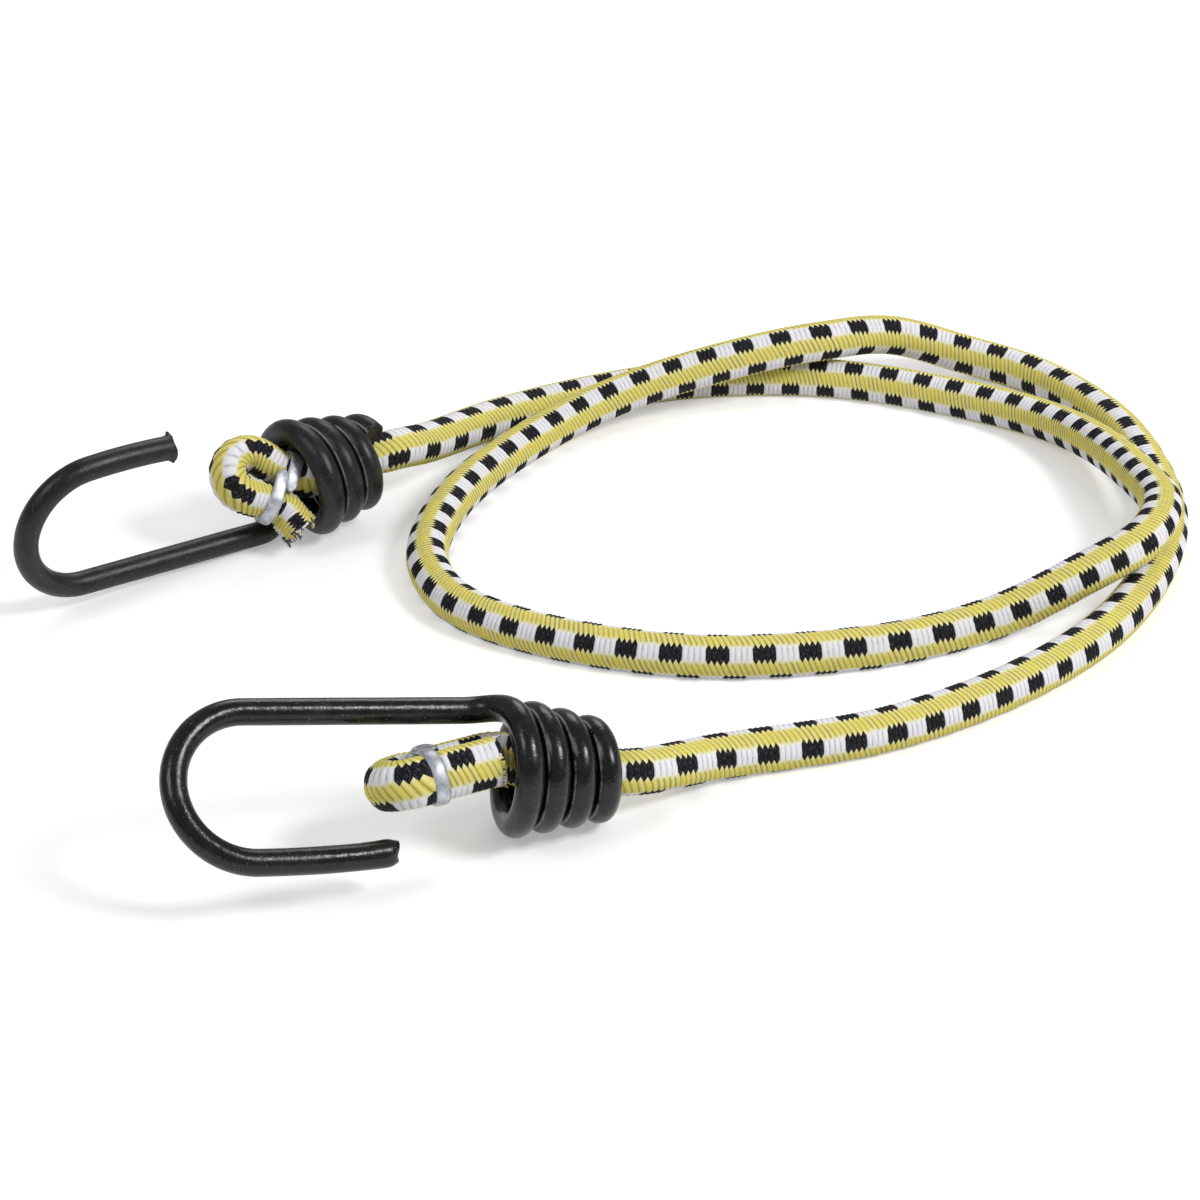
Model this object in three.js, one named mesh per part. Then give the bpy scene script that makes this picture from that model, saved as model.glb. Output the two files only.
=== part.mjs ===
// Bungee cord: an elastic cord in a braided jacket, with a coated wire hook wound on each end.
// Units are millimetres, +Z is up and the cord lies on the plane z = 0.
import * as THREE from 'three';

// Cord
const cordDiameter = 8;
const jacketWall = 1.1;
const floorFlat = cordDiameter / 10; // the side that the cord lies on is pressed flat by this much
const foldSquash = 0.86; // the folded ends are flattened: thinner in the plane of the fold, wider across it
const cordSides = 9;
const foldedCordSides = 8;
const boreSides = 6;
const strandSides = 4;
const ringStrands = 6; // rubber strands round the middle one
const coreClearance = 0.2; // between strands, and from strands to jacket
const crossingClearance = 0.4; // where the cord passes over itself
const splitGap = 0.3; // between the cord's main run and its folded ends

// Hook wire
const wireDiameter = 3.5;
const coatedDiameter = 4.6;
const coatClearance = 0.15;
const coatedSides = 6;
const wireSides = 4;

// Coil of the hook
const coilTurns = 3.5;
const coilPitch = 5;
const coilMouthRadius = 9.8; // wire centre, at the end that faces the hook
const coilGrip = 0.35; // clearance of the small end round the cord
const coilStartAngle = 50; // degrees round the axis from the shank to the first turn

// J of the hook
const shankStart = 7; // from the coil's mouth
const shankEnd = 45.2;
const shankEndRadius = 7.93; // distance from the coil's axis where the bend starts
const bendDiameter = 25.9;

// Steps along the hook
const coilStepsPerTurn = 20;
const shankBlendSteps = 6;
const shankSteps = 3;
const bendSteps = 13;
const legSteps = 3;

// Folded end and crimp ring
const splitDepth = 9; // from the coil's mouth into the coil, where the folded end starts
const passGap = 0.3; // between the two passes under the crimp
const loopRadius = 4.2; // centre line of the fold
const crimpWidth = 2.3;
const crimpThickness = 1;
const crimpClearance = 0.3;
const crimpLead = 1.4; // straight cord between the crimp and a bend of the cord
const crimpArcSteps = 6;

// How each hook lies: place of the coil's mouth, heading, pitch and roll in degrees. How its tip is bent: the
// length of the return leg, the degrees that it curves, and the degrees that its tip closes towards the shank.
// Then its folded end.
const hookA = {
  name: 'a',
  place: [-6.83, 57.62],
  heading: 216.1,
  pitch: 0.5,
  roll: 170.6,
  returnLeg: 16,
  legTurn: 8.2,
  bendClosing: 3.9,
  foldRoll: -50,
  foldTilt: 41,
  foldDroop: 0,
  crimpCentre: [3.8, 0.3, 0.6],
  passFrom: -2.6,
  loopAt: 6.2,
  tailLength: 7.5,
  tailFlare: 30,
};
const hookB = {
  name: 'b',
  place: [35.79, -44.87],
  heading: 197.4,
  pitch: 13.1,
  roll: 49.9,
  returnLeg: 22.4,
  legTurn: 5.8,
  bendClosing: 5.6,
  foldRoll: 113,
  foldTilt: 0,
  foldDroop: 16,
  crimpCentre: [13.4, 0.2, -1.8],
  passFrom: -10.5,
  loopAt: 3.2,
  tailLength: 11.5,
  tailFlare: 0,
};

// Route of the cord between the coils: x, y, and the lift in cord layers (1 lies on another pass)
const route = [
  [17.4, 78.7, 0.7], [31.4, 99.2, 0.1], [48.4, 110.2, 0], [70.4, 117.7, 0], [96.4, 118.7, 0],
  [120.4, 111.2, 0], [139.4, 98.7, 0.14], [148.4, 85.2, 0.38], [154.4, 66.2, 0.76], [157.4, 49.2, 0.98],
  [152.4, 35.2, 1.02], [141.4, 27.7, 0.7], [123.4, 19.7, 0.08], [101.4, 10.7, 0], [69.4, 7.2, 0],
  [40.4, 15.2, 0], [25.4, 26.2, 0], [19.4, 41.2, 0], [20.4, 56.2, 0], [27.4, 75.2, 0], [44.4, 97.2, 0.14],
  [60.4, 106.7, 0.5], [82.4, 113.2, 0.95], [96.4, 117.7, 1.05], [111.4, 125.2, 0.78], [126.4, 126.2, 0.22],
  [141.4, 118.7, 0.02], [154.4, 99.2, 0], [159.4, 79.7, 0], [160.4, 59.2, 0], [155.4, 38.7, 0],
  [143.4, 16.2, 0], [124.4, -3.3, 0], [101.4, -17.8, 0], [72.4, -27.8, 0.1],
];
const routeStepsPerPoint = 2;
const straightExit = 3; // straight run of the cord outside the coil

// Colours and finishes
const finishes = {
  jacket: { color: 0xe3cf3a, roughness: 0.8, metalness: 0 },
  rubber: { color: 0xc9b48a, roughness: 0.9, metalness: 0 },
  vinyl: { color: 0x1b1b1d, roughness: 0.45, metalness: 0 },
  steel: { color: 0x9a9da1, roughness: 0.4, metalness: 1 },
  zinc: { color: 0xb9bec4, roughness: 0.35, metalness: 1 },
};

// Sizes that follow
const cordRadius = cordDiameter / 2;
const foldedThickness = cordDiameter * foldSquash;
const foldedWidth = cordDiameter / foldSquash;
const coatedRadius = coatedDiameter / 2;
const coilEndRadius = cordRadius + coilGrip + coatedRadius;
const coilLength = coilTurns * coilPitch;
const lyingHeight = cordRadius - floorFlat;
const layerHeight = cordDiameter + crossingClearance;
const passHalf = (foldedThickness + passGap) / 2;

const degrees = (angle) => THREE.MathUtils.degToRad(angle);

// A centre line made of sections, each with its own count of steps, swept without arc-length spacing.
// With an up vector its sections keep upright; without one they turn as little as they can.
class Centreline extends THREE.Curve {
  constructor(sections, up = null) {
    super();
    this.sections = sections;
    this.up = up;
    this.steps = sections.reduce((sum, section) => sum + section.steps, 0);
  }

  getPoint(t, target = new THREE.Vector3()) {
    let along = t * this.steps;
    for (const section of this.sections) {
      if (along <= section.steps || section === this.sections.at(-1)) {
        return target.copy(section.at(along / section.steps));
      }
      along -= section.steps;
    }
    return target;
  }

  getUtoTmapping(u) {
    return u;
  }

  computeFrenetFrames(segments, closed) {
    if (!this.up) return super.computeFrenetFrames(segments, closed);
    const frames = { tangents: [], normals: [], binormals: [] };
    for (let i = 0; i <= segments; i++) {
      const tangent = this.getTangent(i / segments);
      const normal = new THREE.Vector3().crossVectors(this.up, tangent).normalize();
      frames.tangents.push(tangent);
      frames.normals.push(normal);
      frames.binormals.push(new THREE.Vector3().crossVectors(tangent, normal));
    }
    return frames;
  }
}

function straight(from, to, steps) {
  return { steps, at: (k) => new THREE.Vector3().lerpVectors(from, to, k) };
}

function arc(centre, outward, onward, radius, from, to, steps) {
  const at = (k) => {
    const angle = THREE.MathUtils.lerp(from, to, k);
    return centre.clone()
      .addScaledVector(outward, radius * Math.cos(angle))
      .addScaledVector(onward, radius * Math.sin(angle));
  };
  return { steps, at };
}

// A smooth join between two points with given directions
function easing(from, fromDirection, to, toDirection, steps, fullness = 0.43) {
  const reach = from.distanceTo(to) * fullness;
  const curve = new THREE.CubicBezierCurve3(
    from,
    from.clone().addScaledVector(fromDirection, reach),
    to.clone().addScaledVector(toDirection, -reach),
    to,
  );
  return { steps, at: (k) => curve.getPoint(k) };
}

function polygon(radius, sides, startAngle = 0) {
  const points = [];
  for (let i = 0; i < sides; i++) {
    const angle = startAngle + (2 * Math.PI * i) / sides;
    points.push(new THREE.Vector2(radius * Math.cos(angle), radius * Math.sin(angle)));
  }
  return points;
}

// Round section with a flat underneath
function flattened(radius, flat, sides) {
  const edge = Math.acos((radius - flat) / radius);
  const points = [];
  for (let i = 0; i < sides; i++) {
    const angle = -Math.PI / 2 + edge + ((2 * Math.PI - 2 * edge) * i) / (sides - 1);
    points.push(new THREE.Vector2(radius * Math.cos(angle), radius * Math.sin(angle)));
  }
  return points;
}

function sweep(name, outline, bore, path, finish) {
  const shape = new THREE.Shape(outline);
  if (bore) shape.holes.push(new THREE.Path(bore));
  const geometry = new THREE.ExtrudeGeometry(shape, { steps: path.steps, extrudePath: path });
  return named(name, geometry, finish);
}

function named(name, geometry, finish) {
  const mesh = new THREE.Mesh(geometry, new THREE.MeshStandardMaterial(finishes[finish]));
  mesh.name = name;
  return mesh;
}

// Jacket and its rubber strands along one path: one strand in the middle and a ring round it
function cordPieces(suffix, outline, path, squash = 1) {
  const boreRadius = cordRadius - jacketWall;
  const reach = boreRadius - coreClearance / Math.sin(Math.PI / 3);
  const strandRadius = (reach - coreClearance) / 3;
  const ringRadius = reach - strandRadius;
  const pressed = (points) => points.map((point) => new THREE.Vector2(point.x * squash, point.y / squash));
  const bore = pressed(polygon(boreRadius, boreSides));
  const pieces = [sweep(`jacket_${suffix}`, pressed(outline), bore, path, 'jacket')];
  const strand = pressed(polygon(strandRadius, strandSides));
  pieces.push(sweep(`core_strand_${suffix}_0`, strand, null, path, 'rubber'));
  for (let i = 0; i < ringStrands; i++) {
    const angle = (2 * Math.PI * i) / ringStrands;
    const centre = new THREE.Vector2(ringRadius * Math.cos(angle), ringRadius * Math.sin(angle));
    const moved = polygon(strandRadius, strandSides, angle).map((point) => point.add(centre));
    pieces.push(sweep(`core_strand_${suffix}_${i + 1}`, pressed(moved), null, path, 'rubber'));
  }
  return pieces;
}

// Centre line of the hook wire from the tip to the end of the coil.
// Its own X runs out of the coil's mouth, and its Z points from the axis to the shank.
function hookCentreline(hook) {
  const bendRadius = bendDiameter / 2;
  const shankFrom = new THREE.Vector3(shankStart, 0, coilMouthRadius);
  const shankTo = new THREE.Vector3(shankEnd, 0, shankEndRadius);
  const along = shankTo.clone().sub(shankFrom).normalize();
  const towardsLeg = new THREE.Vector3(along.z, 0, -along.x);
  const bendCentre = shankTo.clone().addScaledVector(towardsLeg, bendRadius);
  const legTurn = degrees(hook.legTurn);
  const bendSweep = Math.PI + degrees(hook.bendClosing) - legTurn;
  const outward = towardsLeg.clone().negate();
  const bend = arc(bendCentre, outward, along, bendRadius, bendSweep, 0, bendSteps);
  const legRadius = hook.returnLeg / legTurn;
  const legCentre = bend.at(0).lerp(bendCentre, legRadius / bendRadius);
  const leg = arc(legCentre, outward, along, legRadius, bendSweep + legTurn, bendSweep, legSteps);

  const coil = {
    steps: Math.round(coilTurns * coilStepsPerTurn),
    at: (k) => {
      const turn = coilTurns * k;
      const angle = degrees(coilStartAngle) + 2 * Math.PI * turn;
      const radius = THREE.MathUtils.lerp(coilMouthRadius, coilEndRadius, k);
      return new THREE.Vector3(-coilPitch * turn, radius * Math.sin(angle), radius * Math.cos(angle));
    },
  };
  const coilStart = coil.at(0);
  const intoCoil = new THREE.Vector3(
    -coilPitch / (2 * Math.PI * coilMouthRadius),
    Math.cos(degrees(coilStartAngle)),
    -Math.sin(degrees(coilStartAngle)),
  ).normalize();
  const backAlong = along.clone().negate();
  return new Centreline([
    leg,
    bend,
    straight(shankTo, shankFrom, shankSteps),
    easing(shankFrom, backAlong, coilStart, intoCoil, shankBlendSteps),
    coil,
  ]);
}

// Least clear distance between turns of the coil, on points of its centre line
function leastCoilGap(path) {
  const coil = path.sections.at(-1);
  const points = [];
  for (let i = 0; i <= coil.steps * 2; i++) points.push(coil.at(i / (coil.steps * 2)));
  const apart = Math.round(coilStepsPerTurn * 1.5);
  let least = Infinity;
  for (let i = 0; i < points.length; i++) {
    for (let j = i + apart; j < points.length; j++) least = Math.min(least, points[i].distanceTo(points[j]));
  }
  return least - coatedDiameter;
}

// The fold in the hook's own frame: the middle of its crimp, and axes along it, across it to the tail,
// and square to both
function foldFrame(hook) {
  const roll = degrees(hook.foldRoll);
  const across = new THREE.Vector3(0, Math.sin(roll), Math.cos(roll));
  const square = new THREE.Vector3(0, -Math.cos(roll), Math.sin(roll));
  const along = new THREE.Vector3(1, 0, 0)
    .addScaledVector(across, -Math.tan(degrees(hook.foldTilt)))
    .addScaledVector(square, -Math.tan(degrees(hook.foldDroop)))
    .normalize();
  const centre = new THREE.Vector3(hook.crimpCentre[0], 0, 0)
    .addScaledVector(across, hook.crimpCentre[1])
    .addScaledVector(square, hook.crimpCentre[2]);
  const level = new THREE.Vector3().crossVectors(along, across).normalize();
  return { centre, along, across: new THREE.Vector3().crossVectors(level, along), square: level };
}

function foldPoint(frame, along, across) {
  return frame.centre.clone()
    .addScaledVector(frame.along, along)
    .addScaledVector(frame.across, across);
}

// The cord's end: out of the coil on its axis, through the crimp, round the fold, and back to the cut tail
function foldedCentreline(hook) {
  const frame = foldFrame(hook);
  const axis = new THREE.Vector3(1, 0, 0);
  const start = new THREE.Vector3(-splitDepth + splitGap / 2, 0, 0);
  const back = frame.along.clone().negate();
  const passOut = foldPoint(frame, hook.passFrom, -passHalf);
  const crimpOut = foldPoint(frame, crimpWidth / 2, -passHalf);
  const loopOut = foldPoint(frame, hook.loopAt, -loopRadius);
  const loopBack = foldPoint(frame, hook.loopAt, loopRadius);
  const crimpBack = foldPoint(frame, crimpWidth / 2, passHalf);
  const flare = degrees(hook.tailFlare);
  const tailDirection = back.clone().multiplyScalar(Math.cos(flare)).addScaledVector(frame.across, Math.sin(flare));
  const tailStart = foldPoint(frame, -crimpWidth / 2 - crimpLead, passHalf);
  const tailEnd = tailStart.clone().addScaledVector(tailDirection, hook.tailLength - crimpWidth / 2 - crimpLead);
  return new Centreline([
    easing(start, axis, passOut, frame.along, 6),
    straight(passOut, crimpOut, 1),
    easing(crimpOut, frame.along, loopOut, frame.along, 2),
    arc(foldPoint(frame, hook.loopAt, 0), frame.across.clone().negate(), frame.along, loopRadius, 0, Math.PI, 9),
    easing(loopBack, back, crimpBack, back, 2),
    straight(crimpBack, tailStart, 1),
    straight(tailStart, tailEnd, 2),
  ], frame.square);
}

// Stadium outline round the two passes
function stadium(wall) {
  const halfWidth = foldedWidth / 2 + wall;
  const halfThickness = foldedThickness / 2 + wall;
  const points = [];
  for (const end of [1, -1]) {
    for (let i = 0; i <= crimpArcSteps; i++) {
      const angle = (Math.PI * i) / crimpArcSteps;
      const across = passHalf + halfThickness * Math.sin(angle);
      points.push(new THREE.Vector2(end * halfWidth * Math.cos(angle), end * across));
    }
  }
  return points;
}

function crimpRing(hook) {
  const frame = foldFrame(hook);
  const shape = new THREE.Shape(stadium(crimpClearance + crimpThickness));
  shape.holes.push(new THREE.Path(stadium(crimpClearance)));
  const geometry = new THREE.ExtrudeGeometry(shape, { depth: crimpWidth, bevelEnabled: false });
  const mesh = named(`crimp_ring_${hook.name}`, geometry, 'zinc');
  const turn = new THREE.Matrix4().makeBasis(frame.square.clone().negate(), frame.across, frame.along);
  mesh.setRotationFromMatrix(turn);
  mesh.position.copy(foldPoint(frame, -crimpWidth / 2, 0));
  return mesh;
}

function hookGroup(hook) {
  const group = new THREE.Group();
  const wirePath = hookCentreline(hook);
  const coatOutline = polygon(coatedRadius, coatedSides);
  const coatBore = polygon(wireDiameter / 2 + coatClearance, wireSides);
  group.add(sweep(`hook_coating_${hook.name}`, coatOutline, coatBore, wirePath, 'vinyl'));
  group.add(sweep(`hook_wire_${hook.name}`, polygon(wireDiameter / 2, wireSides), null, wirePath, 'steel'));
  group.rotation.set(degrees(hook.roll), degrees(-hook.pitch), degrees(hook.heading), 'ZYX');
  group.position.set(hook.place[0], hook.place[1], 0);
  group.updateMatrixWorld(true);
  group.position.z = -new THREE.Box3().setFromObject(group, true).min.z; // lies on the floor
  const foldedOutline = polygon(cordRadius, foldedCordSides, Math.PI / foldedCordSides);
  group.add(...cordPieces(`end_${hook.name}`, foldedOutline, foldedCentreline(hook), foldSquash));
  group.add(crimpRing(hook));
  group.updateMatrixWorld(true);
  return group;
}

// The cord between the coils: straight out of each coil, along the route's points
function mainCentreline(groupA, groupB) {
  const onAxis = (group, along) => group.localToWorld(new THREE.Vector3(along, 0, 0));
  const splitAt = -splitDepth - splitGap / 2;
  const exitAt = -coilLength - coatedRadius - straightExit;
  const points = route.map(([x, y, lift]) => new THREE.Vector3(x, y, lyingHeight + lift * layerHeight));
  const curve = new THREE.CatmullRomCurve3([
    onAxis(groupA, splitAt), onAxis(groupA, exitAt), ...points, onAxis(groupB, exitAt), onAxis(groupB, splitAt),
  ]);
  const steps = (curve.points.length - 1) * routeStepsPerPoint;
  const at = (k) => {
    const point = curve.getPoint(k);
    point.z = Math.max(point.z, lyingHeight);
    return point;
  };
  return new Centreline([{ steps, at }], new THREE.Vector3(0, 0, 1));
}

const bungeeCord = new THREE.Group();
const groupA = hookGroup(hookA);
const groupB = hookGroup(hookB);
const mainPath = mainCentreline(groupA, groupB);
bungeeCord.add(groupA, groupB);
bungeeCord.add(...cordPieces('main', flattened(cordRadius, floorFlat, cordSides), mainPath));

console.log(`least gap between coil turns: ${leastCoilGap(hookCentreline(hookA)).toFixed(2)} mm`);
console.log(`cord between the splits: ${mainPath.getLength().toFixed(0)} mm`);

export default bungeeCord;
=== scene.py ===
import math

import bmesh
import bpy
import numpy as np
from mathutils import Matrix, Vector


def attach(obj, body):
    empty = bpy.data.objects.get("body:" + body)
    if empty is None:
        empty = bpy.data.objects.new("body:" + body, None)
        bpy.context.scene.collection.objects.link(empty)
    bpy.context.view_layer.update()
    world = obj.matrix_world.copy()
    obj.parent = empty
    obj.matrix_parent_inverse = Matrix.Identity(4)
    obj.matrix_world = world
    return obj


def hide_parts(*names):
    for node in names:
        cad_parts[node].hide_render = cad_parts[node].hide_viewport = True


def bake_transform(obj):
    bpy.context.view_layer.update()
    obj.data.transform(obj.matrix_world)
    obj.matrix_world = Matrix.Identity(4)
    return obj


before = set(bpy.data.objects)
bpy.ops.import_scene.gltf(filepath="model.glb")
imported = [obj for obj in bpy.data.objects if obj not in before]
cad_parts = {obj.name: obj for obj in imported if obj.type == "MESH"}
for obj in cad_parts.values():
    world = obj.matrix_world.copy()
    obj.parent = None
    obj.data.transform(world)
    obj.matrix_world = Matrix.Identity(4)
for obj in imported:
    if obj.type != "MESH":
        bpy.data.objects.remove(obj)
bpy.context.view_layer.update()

print("frame loaded with", len(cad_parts), "nodes")

studio = {
    "camera": (0.05167, -0.59226, 0.3610),
    "lookAt": (0.05167, 0.03304, 0.0),
    "focalPixels": 3873.0,  # for a frame 1200 pixels wide
    "framePixels": 1200.0,
    "sensor": 36.0,
    "clipStart": 0.01,
    "worldStrength": 0.34,
    "floorSize": 6.0,
    "floorPlace": (0.05, 0.03, -0.0001),
    "floorColour": (0.82, 0.82, 0.82, 1.0),
    "floorRoughness": 0.9,
    "floorSpecular": 0.1,
    "floorLift": 0.34,  # white added to the floor where the camera or a reflection sees it
}

# name, place, aimed at, size, watts
lamps = [
    ("keyLamp", (0.82, -0.3, 0.8), (0.03, 0.0, 0.0), 0.36, 7.6),
    ("fillLamp", (-0.6, -0.4, 0.9), (0.05, 0.03, 0.0), 0.5, 2.8),
    ("rimLamp", (0.15, 0.95, 0.7), (0.05, 0.03, 0.0), 0.6, 2.8),
]


def place(name, data):
    thing = bpy.data.objects.new(name, data)
    bpy.context.scene.collection.objects.link(thing)
    return thing


def aim(thing, target):
    way = Vector(target) - thing.location
    thing.rotation_euler = way.to_track_quat("-Z", "Y").to_euler()


def addCamera():
    lens = bpy.data.cameras.new("photoCamera")
    lens.sensor_width = studio["sensor"]
    lens.lens = studio["sensor"] * studio["focalPixels"] / studio["framePixels"]
    lens.clip_start = studio["clipStart"]
    camera = place("photoCamera", lens)
    camera.location = studio["camera"]
    aim(camera, studio["lookAt"])
    bpy.context.scene.camera = camera


def addLamps():
    for name, spot, target, size, power in lamps:
        data = bpy.data.lights.new(name, "AREA")
        data.shape = "DISK"
        data.size = size
        data.energy = power
        lamp = place(name, data)
        lamp.location = spot
        aim(lamp, target)


# Small helpers for node trees

def newTree(name):
    material = bpy.data.materials.new(name)
    material.use_nodes = True
    tree = material.node_tree
    shader = tree.nodes["Principled BSDF"]
    return material, tree, shader


# A node group that several materials share; takes and gives are lists of name and kind
def newGroup(name, takes, gives):
    tree = bpy.data.node_groups.new(name, "ShaderNodeTree")
    for label, kind in takes:
        tree.interface.new_socket(name=label, in_out="INPUT", socket_type="NodeSocket" + kind)
    for label, kind in gives:
        tree.interface.new_socket(name=label, in_out="OUTPUT", socket_type="NodeSocket" + kind)
    return tree, tree.nodes.new("NodeGroupInput").outputs, tree.nodes.new("NodeGroupOutput").inputs


def addNode(tree, kind, inputs=None, **settings):
    made = tree.nodes.new(kind)
    for key, value in settings.items():
        setattr(made, key, value)
    for key, value in (inputs or {}).items():
        feed(tree, made.inputs[key], value)
    return made


def feed(tree, socket, value):
    if isinstance(value, bpy.types.NodeSocket):
        tree.links.new(value, socket)
    else:
        socket.default_value = value


def calc(tree, operation, *values):
    made = tree.nodes.new("ShaderNodeMath")
    made.operation = operation
    for index, value in enumerate(values):
        feed(tree, made.inputs[index], value)
    return made.outputs[0]


def mixColour(tree, share, first, second):
    made = tree.nodes.new("ShaderNodeMix")
    made.data_type = "RGBA"
    feed(tree, made.inputs[0], share)
    feed(tree, made.inputs[6], first)  # 6, 7 and 2 are the node's colour sockets
    feed(tree, made.inputs[7], second)
    return made.outputs[2]


def clamped(tree, value, low, high):
    made = tree.nodes.new("ShaderNodeMapRange")
    feed(tree, made.inputs[0], value)
    made.inputs[1].default_value = low
    made.inputs[2].default_value = high
    return made.outputs[0]


def addNoise(tree, vector, scale, detail, roughness=0.5):
    return addNode(tree, "ShaderNodeTexNoise", {
        "Vector": vector, "Scale": scale, "Detail": detail, "Roughness": roughness,
    }).outputs[0]


def objectPlace(tree):
    return addNode(tree, "ShaderNodeTexCoord").outputs["Object"]


def emboss(tree, shader, height, distance, strength):
    bump = addNode(tree, "ShaderNodeBump", {"Height": height, "Distance": distance, "Strength": strength})
    tree.links.new(bump.outputs[0], shader.inputs["Normal"])


def addStage():
    bm = bmesh.new()
    bmesh.ops.create_grid(bm, x_segments=2, y_segments=2, size=studio["floorSize"] / 2)
    mesh = bpy.data.meshes.new("studioFloor")
    bm.to_mesh(mesh)
    bm.free()
    mesh.transform(Matrix.Translation(studio["floorPlace"]))
    floor = place("studioFloor", mesh)
    material, tree, shader = newTree("studioPaper")
    shader.inputs["Base Color"].default_value = studio["floorColour"]
    shader.inputs["Roughness"].default_value = studio["floorRoughness"]
    shader.inputs["Specular IOR Level"].default_value = studio["floorSpecular"]
    path = addNode(tree, "ShaderNodeLightPath")
    seen = calc(tree, "MAXIMUM", path.outputs["Is Camera Ray"], path.outputs["Is Glossy Ray"])
    seen = calc(tree, "MAXIMUM", seen, path.outputs["Is Transmission Ray"])
    glow = addNode(tree, "ShaderNodeEmission", {"Strength": calc(tree, "MULTIPLY", seen, studio["floorLift"])})
    both = addNode(tree, "ShaderNodeAddShader", {0: shader.outputs[0], 1: glow.outputs[0]})
    tree.links.new(both.outputs[0], tree.nodes["Material Output"].inputs["Surface"])
    mesh.materials.append(material)
    world = bpy.data.worlds.new("studioWorld")
    world.use_nodes = True
    back = world.node_tree.nodes["Background"]
    back.inputs["Color"].default_value = (1.0, 1.0, 1.0, 1.0)
    back.inputs["Strength"].default_value = studio["worldStrength"]
    bpy.context.scene.world = world
    bpy.context.scene.view_settings.view_transform = "Standard"


addCamera()
addLamps()
addStage()
print("studio set")

# How each hook lies, and its folded end. Only the turns of coil A differ from the solid, which has 3.5.
hookA = {
    "name": "a", "place": (-0.00683, 0.05762, 0.0117877), "heading": 216.1, "pitch": 0.5, "roll": 170.6,
    "leg": 0.016, "legTurn": 8.2, "bendClosing": 3.9, "turns": 3.38,
    "swivelStop": -72, "foldRoll": -50, "foldTilt": 41, "foldDroop": 0, "crimpCentre": (0.0038, 0.0003, 0.0006),
    "passFrom": -0.0026, "loopAt": 0.0062, "tailLength": 0.0075, "tailFlare": 30,
}
hookB = {
    "name": "b", "place": (0.03579, -0.04487, 0.0126493), "heading": 197.4, "pitch": 13.1, "roll": 49.9,
    "leg": 0.0224, "legTurn": 5.8, "bendClosing": 5.6, "turns": 3.5,
    "swivelStop": -70, "foldRoll": 113, "foldTilt": 0, "foldDroop": 16, "crimpCentre": (0.0134, 0.0002, -0.0018),
    "passFrom": -0.0105, "loopAt": 0.0032, "tailLength": 0.0115, "tailFlare": 0,
}


def hookMatrix(hook):
    turn = Matrix.Rotation(math.radians(hook["heading"]), 4, "Z")
    turn = turn @ Matrix.Rotation(math.radians(-hook["pitch"]), 4, "Y")
    turn = turn @ Matrix.Rotation(math.radians(hook["roll"]), 4, "X")
    return Matrix.Translation(hook["place"]) @ turn


def moved(points, matrix):
    turn = np.array(matrix)
    return np.asarray(points) @ turn[:3, :3].T + turn[:3, 3]


def turnedWith(hook, way):
    return np.array(hookMatrix(hook))[:3, :3] @ way


cord = {
    "diameter": 0.008,
    "lying": 0.0032,  # height of the cord's centre on the floor, which presses its underside flat
    "underside": 0.00002,
    "layer": 0.0084,
    "splitAt": -0.00915,
    "exitAt": -0.0228,
    "sides": 36,
    "ringsPerRib": 4,
    "ribsPerCheck": 8,  # one black and one white check
    "samples": 6000,
    # x, y and lift in layers
    "route": [
        (0.0174, 0.0787, 0.7), (0.0314, 0.0992, 0.1), (0.0484, 0.1102, 0), (0.0704, 0.1177, 0),
        (0.0964, 0.1187, 0), (0.1204, 0.1112, 0), (0.1394, 0.0987, 0.14), (0.1484, 0.0852, 0.38),
        (0.1544, 0.0662, 0.76), (0.1574, 0.0492, 0.98), (0.1524, 0.0352, 1.02), (0.1414, 0.0277, 0.7),
        (0.1234, 0.0197, 0.08), (0.1014, 0.0107, 0), (0.0694, 0.0072, 0), (0.0404, 0.0152, 0),
        (0.0254, 0.0262, 0), (0.0194, 0.0412, 0), (0.0204, 0.0562, 0), (0.0274, 0.0752, 0),
        (0.0444, 0.0972, 0.14), (0.0604, 0.1067, 0.5), (0.0824, 0.1132, 0.95), (0.0964, 0.1177, 1.05),
        (0.1114, 0.1252, 0.78), (0.1264, 0.1262, 0.22), (0.1414, 0.1187, 0.02), (0.1544, 0.0992, 0),
        (0.1594, 0.0797, 0), (0.1604, 0.0592, 0), (0.1554, 0.0387, 0), (0.1434, 0.0162, 0),
        (0.1244, -0.0033, 0), (0.1014, -0.0178, 0), (0.0724, -0.0278, 0.1),
    ],
    # distance along the cord, number of the check there: the braid is a little tighter in places
    "checkCount": [
        (0.0, -4.15), (0.028, -1.0), (0.044, 0.5), (0.06, 2.2), (0.1, 7.5), (0.14, 12.8), (0.172, 17.4),
        (0.196, 21.1), (0.22, 25.0), (0.244, 28.95), (0.268, 32.4), (0.284, 34.2), (0.34, 41.1),
        (0.364, 44.4), (0.388, 48.25), (0.436, 55.0), (0.5, 63.65), (0.548, 69.45), (0.612, 77.3),
        (0.676, 85.15), (0.74, 93.73), (0.756, 95.65), (0.772, 97.4), (0.791, 99.45),
    ],
    # distance along the cord, angle of a row of checks round it
    "rowTurn": [
        (0.0, 180), (0.05, 188), (0.12, 200), (0.19, 209), (0.22, 213), (0.245, 201), (0.262, 203),
        (0.276, 216), (0.3, 217), (0.33, 216), (0.36, 212), (0.41, 215), (0.46, 210), (0.495, 203),
        (0.512, 209), (0.527, 222), (0.55, 198), (0.58, 190), (0.65, 194), (0.7, 199), (0.745, 195),
        (0.775, 212), (0.79, 214),
    ],
    "runA": 0.105,  # lengths of the runs at the two ends of the cord, each cut off as a piece of its own
    "runB": 0.165,
    "coilEnd": 0.0125,  # from the split inside a coil to the coil's small end, which squeezes the cord
    "squeeze": 0.00015,
    "squeezeOver": 0.003,
}


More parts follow.
